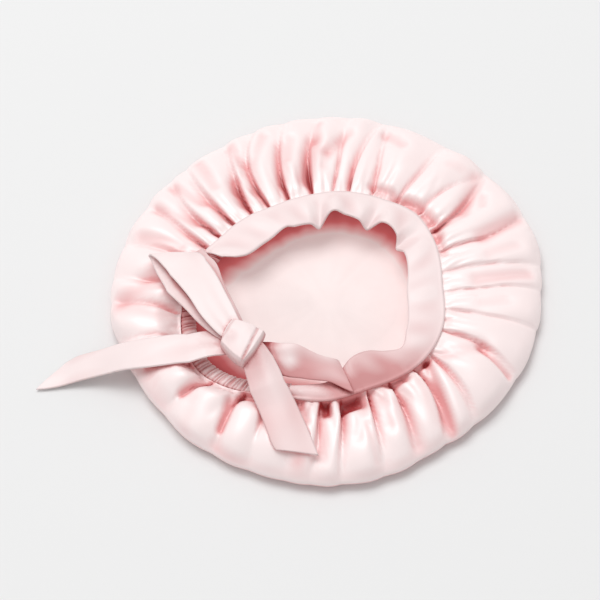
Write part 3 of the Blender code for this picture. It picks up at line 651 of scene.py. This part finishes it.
ribbonPaths = {
    "tie_left": columns(ribbonColumns, [
        (164.7, 1.13, 1.01, 1, 0.84, 35, 0), (170.5, 0.93, 1.04, 1, 0.84, 35, 4),
        (180.7, 0.81, 1.09, 1, 0.76, 29, 8), (194.6, 0.71, 1.13, 1, 0.66, 26, 6),
        (208.3, 0.68, 1.16, 1, 0.58, 25, 2), (219.1, 0.71, 1.18, 1, 0.46, 25, 0)]),
    "tie_right": columns(ribbonColumns, [
        (280.7, 0.875, 0.99, 1, 0.98, 113, 2), (272.0, 0.79, 1.04, 1, 0.66, 92, 12),
        (258.9, 0.76, 1.09, 1, 0.76, 80, 18), (249.1, 0.74, 1.12, 1, 0.88, 77, 20),
        (239.7, 0.73, 1.11, 1, 0.78, 76, 14), (230.8, 0.72, 1.11, 1, 0.64, 76, 4),
        (221.9, 0.74, 1.13, 1, 0.46, 76, 0)]),
    "tail_left": columns(ribbonColumns, [
        (221.3, 0.73, 1.19, 1, 0.48, 92, 0), (216.1, 0.80, 1.17, 1, 0.56, 92, 0),
        (210.4, 0.90, 1.13, 1, 0.78, 94, 0), (207.2, 1.15, 1.05, 1, 0.86, 96, 0),
        (205.0, 1.59, 0.94, 1, 0.86, 94, 0), (202.7, 2.03, 0.70, 1, 0.82, 92, 0),
        (201.3, 2.42, 0.38, 1, 0.78, 92, 0), (200.7, 2.77, 0.19, 1, 0.77, 90, 0),
        (200.7, 3.03, 0.12, 0, 0.80, 74, 0), (200.8, 3.28, 0.06, 0, 0.96, 47, 0)]),
    "tail_right": columns(ribbonColumns, [
        (220.6, 0.69, 1.42, 1, 0.46, 30, 0), (230.7, 0.78, 1.37, 1, 0.74, 26, 0),
        (242.0, 0.95, 1.19, 1, 0.90, 22, 0), (249.8, 1.19, 1.03, 1, 0.95, 21, 0),
        (255.9, 1.46, 0.98, 1, 0.98, 18, 0), (261.0, 1.75, 0.85, 1, 1.08, -8, 0)]),
    "bow_loop": columns(ribbonColumns, [
        (220.8, 0.72, 1.22, 2, 0.48, 36, 0), (212.5, 0.72, 1.23, 2, 0.66, 36, 4),
        (200.4, 0.77, 1.22, 2, 0.84, 36, 6), (188.2, 0.87, 1.20, 2, 0.94, 36, 6),
        (178.9, 1.02, 1.17, 2, 1.02, 28, 6), (173.2, 1.16, 1.12, 2, 1.14, 12, 3),
        (169.6, 1.25, 1.11, 2, 1.24, 4, 0), (168.6, 1.29, 1.21, 2, 1.24, 3, 0),
        (169.0, 1.24, 1.31, 2, 1.22, 4, 0), (170.6, 1.14, 1.36, 2, 1.14, 12, 0),
        (174.8, 0.99, 1.38, 2, 1.04, 26, 0), (185.3, 0.84, 1.44, 2, 0.95, 36, 0),
        (199.3, 0.75, 1.42, 2, 0.86, 36, 0), (211.5, 0.72, 1.36, 2, 0.66, 36, 0),
        (220.8, 0.72, 1.32, 2, 0.48, 36, 0)]),
}


def placeRibbon(node):
    rows = ribbonPaths[node]
    first, final, away, slant, start = ribbonLook[node][1:]

    def place(flat):
        last = len(rows["bearing"]) - 1
        along = np.clip(flat[:, 0] + 0.5, 0, 1)
        side = flat[:, 1] * 2
        bearing, reach, height, layers, width, across, roll = (
            lineValue(rows, column, along * last) for column in rows)
        half = ribbon["width"] * width / 2
        tilt = np.radians(roll)
        spot = planPoint(bearing, reach) + (side * half * np.cos(tilt))[:, None] * plan(across)
        level = ring["ringHeight"] * height + layers * (ribbon["thickness"] + ring["gap"])
        level = level + side * half * np.sin(tilt) + ribbon["bulge"] * (1 - side ** 2)
        drawn = first * np.exp(-along * last / 1.3) + final * np.exp(-(1 - along) * last / 1.3)
        pleat = np.cos(7.5 * side + start + 1.2 * along) * drawn  # fades away from the knot
        wrinkle = np.sin(9 * along + 1.7 * side + start) * np.sin(4.1 * along - 1.3 * side)
        level = level + ribbon["pleat"] * pleat + ribbon["wrinkle"] * wrinkle
        # painted shade: for the turn from the light, in the dips of the pleats and wrinkles and
        # near the knot, with a painted highlight on the wrinkles' crests
        paintedShade = away - slant * side + 0.22 * np.clip(-pleat, 0, 1)
        paintedShade = paintedShade + 0.20 * np.clip(-wrinkle, 0, 1)
        paintedShade = paintedShade + 0.25 * drawn ** 3 - 0.35 * away * np.clip(wrinkle, 0, 1)
        if node == "bow_loop":  # painted shadow of the upper layer on the lower one
            paintedShade = paintedShade + 0.9 * np.exp(-((side + 0.38) / 0.16) ** 2) * (along < 0.42)
        if node == "tie_right":  # a painted highlight in its middle, and painted shadow beside the knot
            lit = np.exp(-((along - 0.52) / 0.10) ** 2 - ((side + 0.1) / 0.55) ** 2)
            paintedShade = paintedShade - lit + 0.9 * np.exp(-((along - 0.80) / 0.09) ** 2)
        return np.column_stack([spot, level]), {"paintedShade": np.clip(paintedShade, 0, 2)}
    return place


def makeRibbon(node, satin):
    steps = (len(ribbonPaths[node]["bearing"]) - 1) * ribbon["steps"]
    shape = makeGrid(steps, ribbon["rows"])
    piece = makePiece(ribbonLook[node][0], shape, placeRibbon(node), [satin],
                      [node])
    addWall(piece, ribbon["thickness"], 0)
    return piece


# knot: its corners in plan, its lowest and highest levels, and how deep its dent and folds are
knot = {
    "topLeft": (-0.069, -0.0395), "right": (-0.0410, -0.0510), "bottom": (-0.0590, -0.0815),
    "left": (-0.0775, -0.0615), "low": 0.0282, "high": 0.0440, "cuts": 28, "square": 0.42,
    "dent": 0.0016, "fold": 0.0016, "edge": 0.0010, "soft": 0.0008,
}


def placeKnot(flat):
    u, v, w = flat[:, 0] * 2, flat[:, 1] * 2, flat[:, 2] * 2
    long = np.maximum(np.maximum(np.abs(u), np.abs(v)), np.abs(w))
    ball = np.sqrt(u * u + v * v + w * w)
    fit = (long / ball) ** knot["square"]  # between a cube and a ball
    u, v, w = u * fit, v * fit, w * fit
    corners = [np.array(knot[k]) for k in ("topLeft", "right", "bottom", "left")]
    weights = [(1 - u) * (1 + v), (1 + u) * (1 + v), (1 + u) * (1 - v), (1 - u) * (1 - v)]
    spot = sum(weight[:, None] * corner for weight, corner in zip(weights, corners)) / 4
    middle = (knot["low"] + knot["high"]) / 2
    level = middle + (knot["high"] - knot["low"]) / 2 * w
    dent = np.exp(-((u + 0.45) ** 2 + (v + 0.1) ** 2) / 0.16)
    fold = np.exp(-((u - 0.62 + 0.15 * v) / 0.06) ** 2)  # where the wrap turns under itself
    edge = np.exp(-((u + 0.80 - 0.1 * v) / 0.05) ** 2)
    soft = 0.3 * np.sin(5 * u + 3 * v) * np.cos(4 * v)
    above = smoothStep(w, 0.2, 0.7)
    level = level - above * (knot["dent"] * dent + knot["fold"] * fold + knot["edge"] * edge
                             + knot["soft"] * soft)
    # painted shade in the fold, along the edge, in the dent and towards one side of the top
    paintedShade = above * (0.50 * fold + 0.40 * edge + 0.30 * dent + 0.3 * smoothStep(-v, -0.1, 0.9))
    paintedShade = paintedShade + 0.7 * (1 - above)  # painted shade on its sides
    return np.column_stack([spot, level]), {"paintedShade": np.clip(paintedShade, 0, 1)}


def makeKnot(satin):
    shape = bmesh.new()
    bmesh.ops.create_cube(shape, size=1)
    bmesh.ops.subdivide_edges(shape, edges=shape.edges[:], cuts=knot["cuts"], use_grid_fill=True)
    return makePiece("wrappedKnot", shape, placeKnot, [satin], ["knot"])


# painted rose shade between folds: "own" is the share of each piece's own painted values, and the
# others that start with "under" hold in the hollow of the bonnet, where the shade is painted
# darker
hollows = {
    "rays": 20, "goldenAngle": 2.399963, "reach": 0.020, "start": 0.0006, "fade": 0.6,
    "own": 0.5, "underReach": 1.5, "underDark": 0.5, "underSmooth": 10,
}
# how far above a corner the ribbons are looked for, the room below them, and the lowest level
press = {"above": 0.012, "search": 0.016, "clear": 0.0016, "least": 0.004}


def readValues(mesh, title):
    values = np.empty(len(mesh.vertices), dtype=np.float32)
    mesh.attributes[title].data.foreach_get("value", values)
    return values


def joinedTree(pieces):  # all the pieces as one, for rays to meet
    corners, faces = [], []
    for piece in pieces:
        offset = len(corners)
        corners += [corner.co.copy() for corner in piece.data.vertices]
        faces += [[offset + index for index in face.vertices] for face in piece.data.polygons]
    return BVHTree.FromPolygons(corners, faces)


def pressUnder(gathered, laid):  # the gathers give way under the ribbons that lie on them
    tree = joinedTree(laid)
    for corner in gathered.data.vertices:
        if corner.co.z > press["least"]:
            above = corner.co + Vector((0, 0, press["above"]))
            hit = tree.ray_cast(above, Vector((0, 0, -1)), press["search"])[0]
            if hit is not None:
                corner.co.z = min(corner.co.z, max(hit.z - press["clear"], press["least"]))
    gathered.data.update()


def smoothValues(mesh, values, chosen, times):  # averages chosen corners with their neighbours
    pairs = np.empty(len(mesh.edges) * 2, dtype=np.int32)
    mesh.edges.foreach_get("vertices", pairs)
    here = np.concatenate([pairs[0::2], pairs[1::2]])
    there = np.concatenate([pairs[1::2], pairs[0::2]])
    count = 1 + np.bincount(here, minlength=len(values))
    for _ in range(times):
        total = values + np.bincount(here, weights=values[there], minlength=len(values))
        values = np.where(chosen, total / count, values)
    return values


def shadeHollows(pieces):
    # Satin lit from above turns rose where folds and ribbons face each other; this is painted, not
    # traced. Short rays from each corner find how closed in it is, and the materials read that as
    # painted shade.
    tree = joinedTree(pieces)
    turns = np.arange(hollows["rays"]) * hollows["goldenAngle"]  # spreads the rays evenly
    rise = np.sqrt(1 - (np.arange(hollows["rays"]) + 0.5) / hollows["rays"])
    flat = np.sqrt(1 - rise ** 2)
    fan = np.column_stack([np.cos(turns) * flat, np.sin(turns) * flat, rise])
    for piece in pieces:
        mesh = piece.data
        normals = np.empty(len(mesh.vertices) * 3, dtype=np.float32)
        mesh.vertex_normals.foreach_get("vector", normals)
        normals = normals.reshape(-1, 3).astype(float)
        if piece.modifiers:  # open cloth is seen from above
            normals *= np.where(normals[:, 2:3] < 0, -1, 1)
        side = np.cross(normals, (0.31, 0.93, 0.2))
        side /= np.linalg.norm(side, axis=1)[:, None]
        third = np.cross(normals, side)
        under = readValues(mesh, "under")
        reach = hollows["reach"] * (1 + hollows["underReach"] * under)
        closed = np.zeros(len(mesh.vertices))
        for index, corner in enumerate(mesh.vertices):
            ways = fan[:, 0:1] * side[index] + fan[:, 1:2] * third[index]
            ways = ways + fan[:, 2:3] * normals[index]
            start = corner.co + Vector(normals[index]) * hollows["start"]
            hits = 0.0
            for way in ways:
                hit = tree.ray_cast(start, Vector(way), reach[index])[3]
                if hit is not None:
                    hits += 1 - hollows["fade"] * hit / reach[index]
            closed[index] = hits
        closed = closed / hollows["rays"] * (1 + hollows["underDark"] * under)
        closed = smoothValues(mesh, closed, under > 0, hollows["underSmooth"])
        value = np.clip(closed + readValues(mesh, "paintedShade") * hollows["own"], 0, 1)
        mesh.attributes["paintedShade"].data.foreach_set("value", value.astype(np.float32))


addCamera()
addStudio()
print("studio ready")
faceSatin, ribbonSatin, reverseSatin = (makeSatin(name) for name in satins)
pieces = [makeCrown(faceSatin, reverseSatin)]
print("crown gathered")
pieces.append(makeBand(ribbonSatin))
pieces.append(makeElastic(ribbonSatin))
print("band and elastic sewn on")
for node in ribbonLook:
    pieces.append(makeRibbon(node, ribbonSatin))
pieces.append(makeKnot(ribbonSatin))
print("bow tied")
pressUnder(pieces[0], [piece for piece in pieces if "Tail" in piece.name])
shadeHollows(pieces)
print("hollows shaded")
bpy.context.view_layer.update()
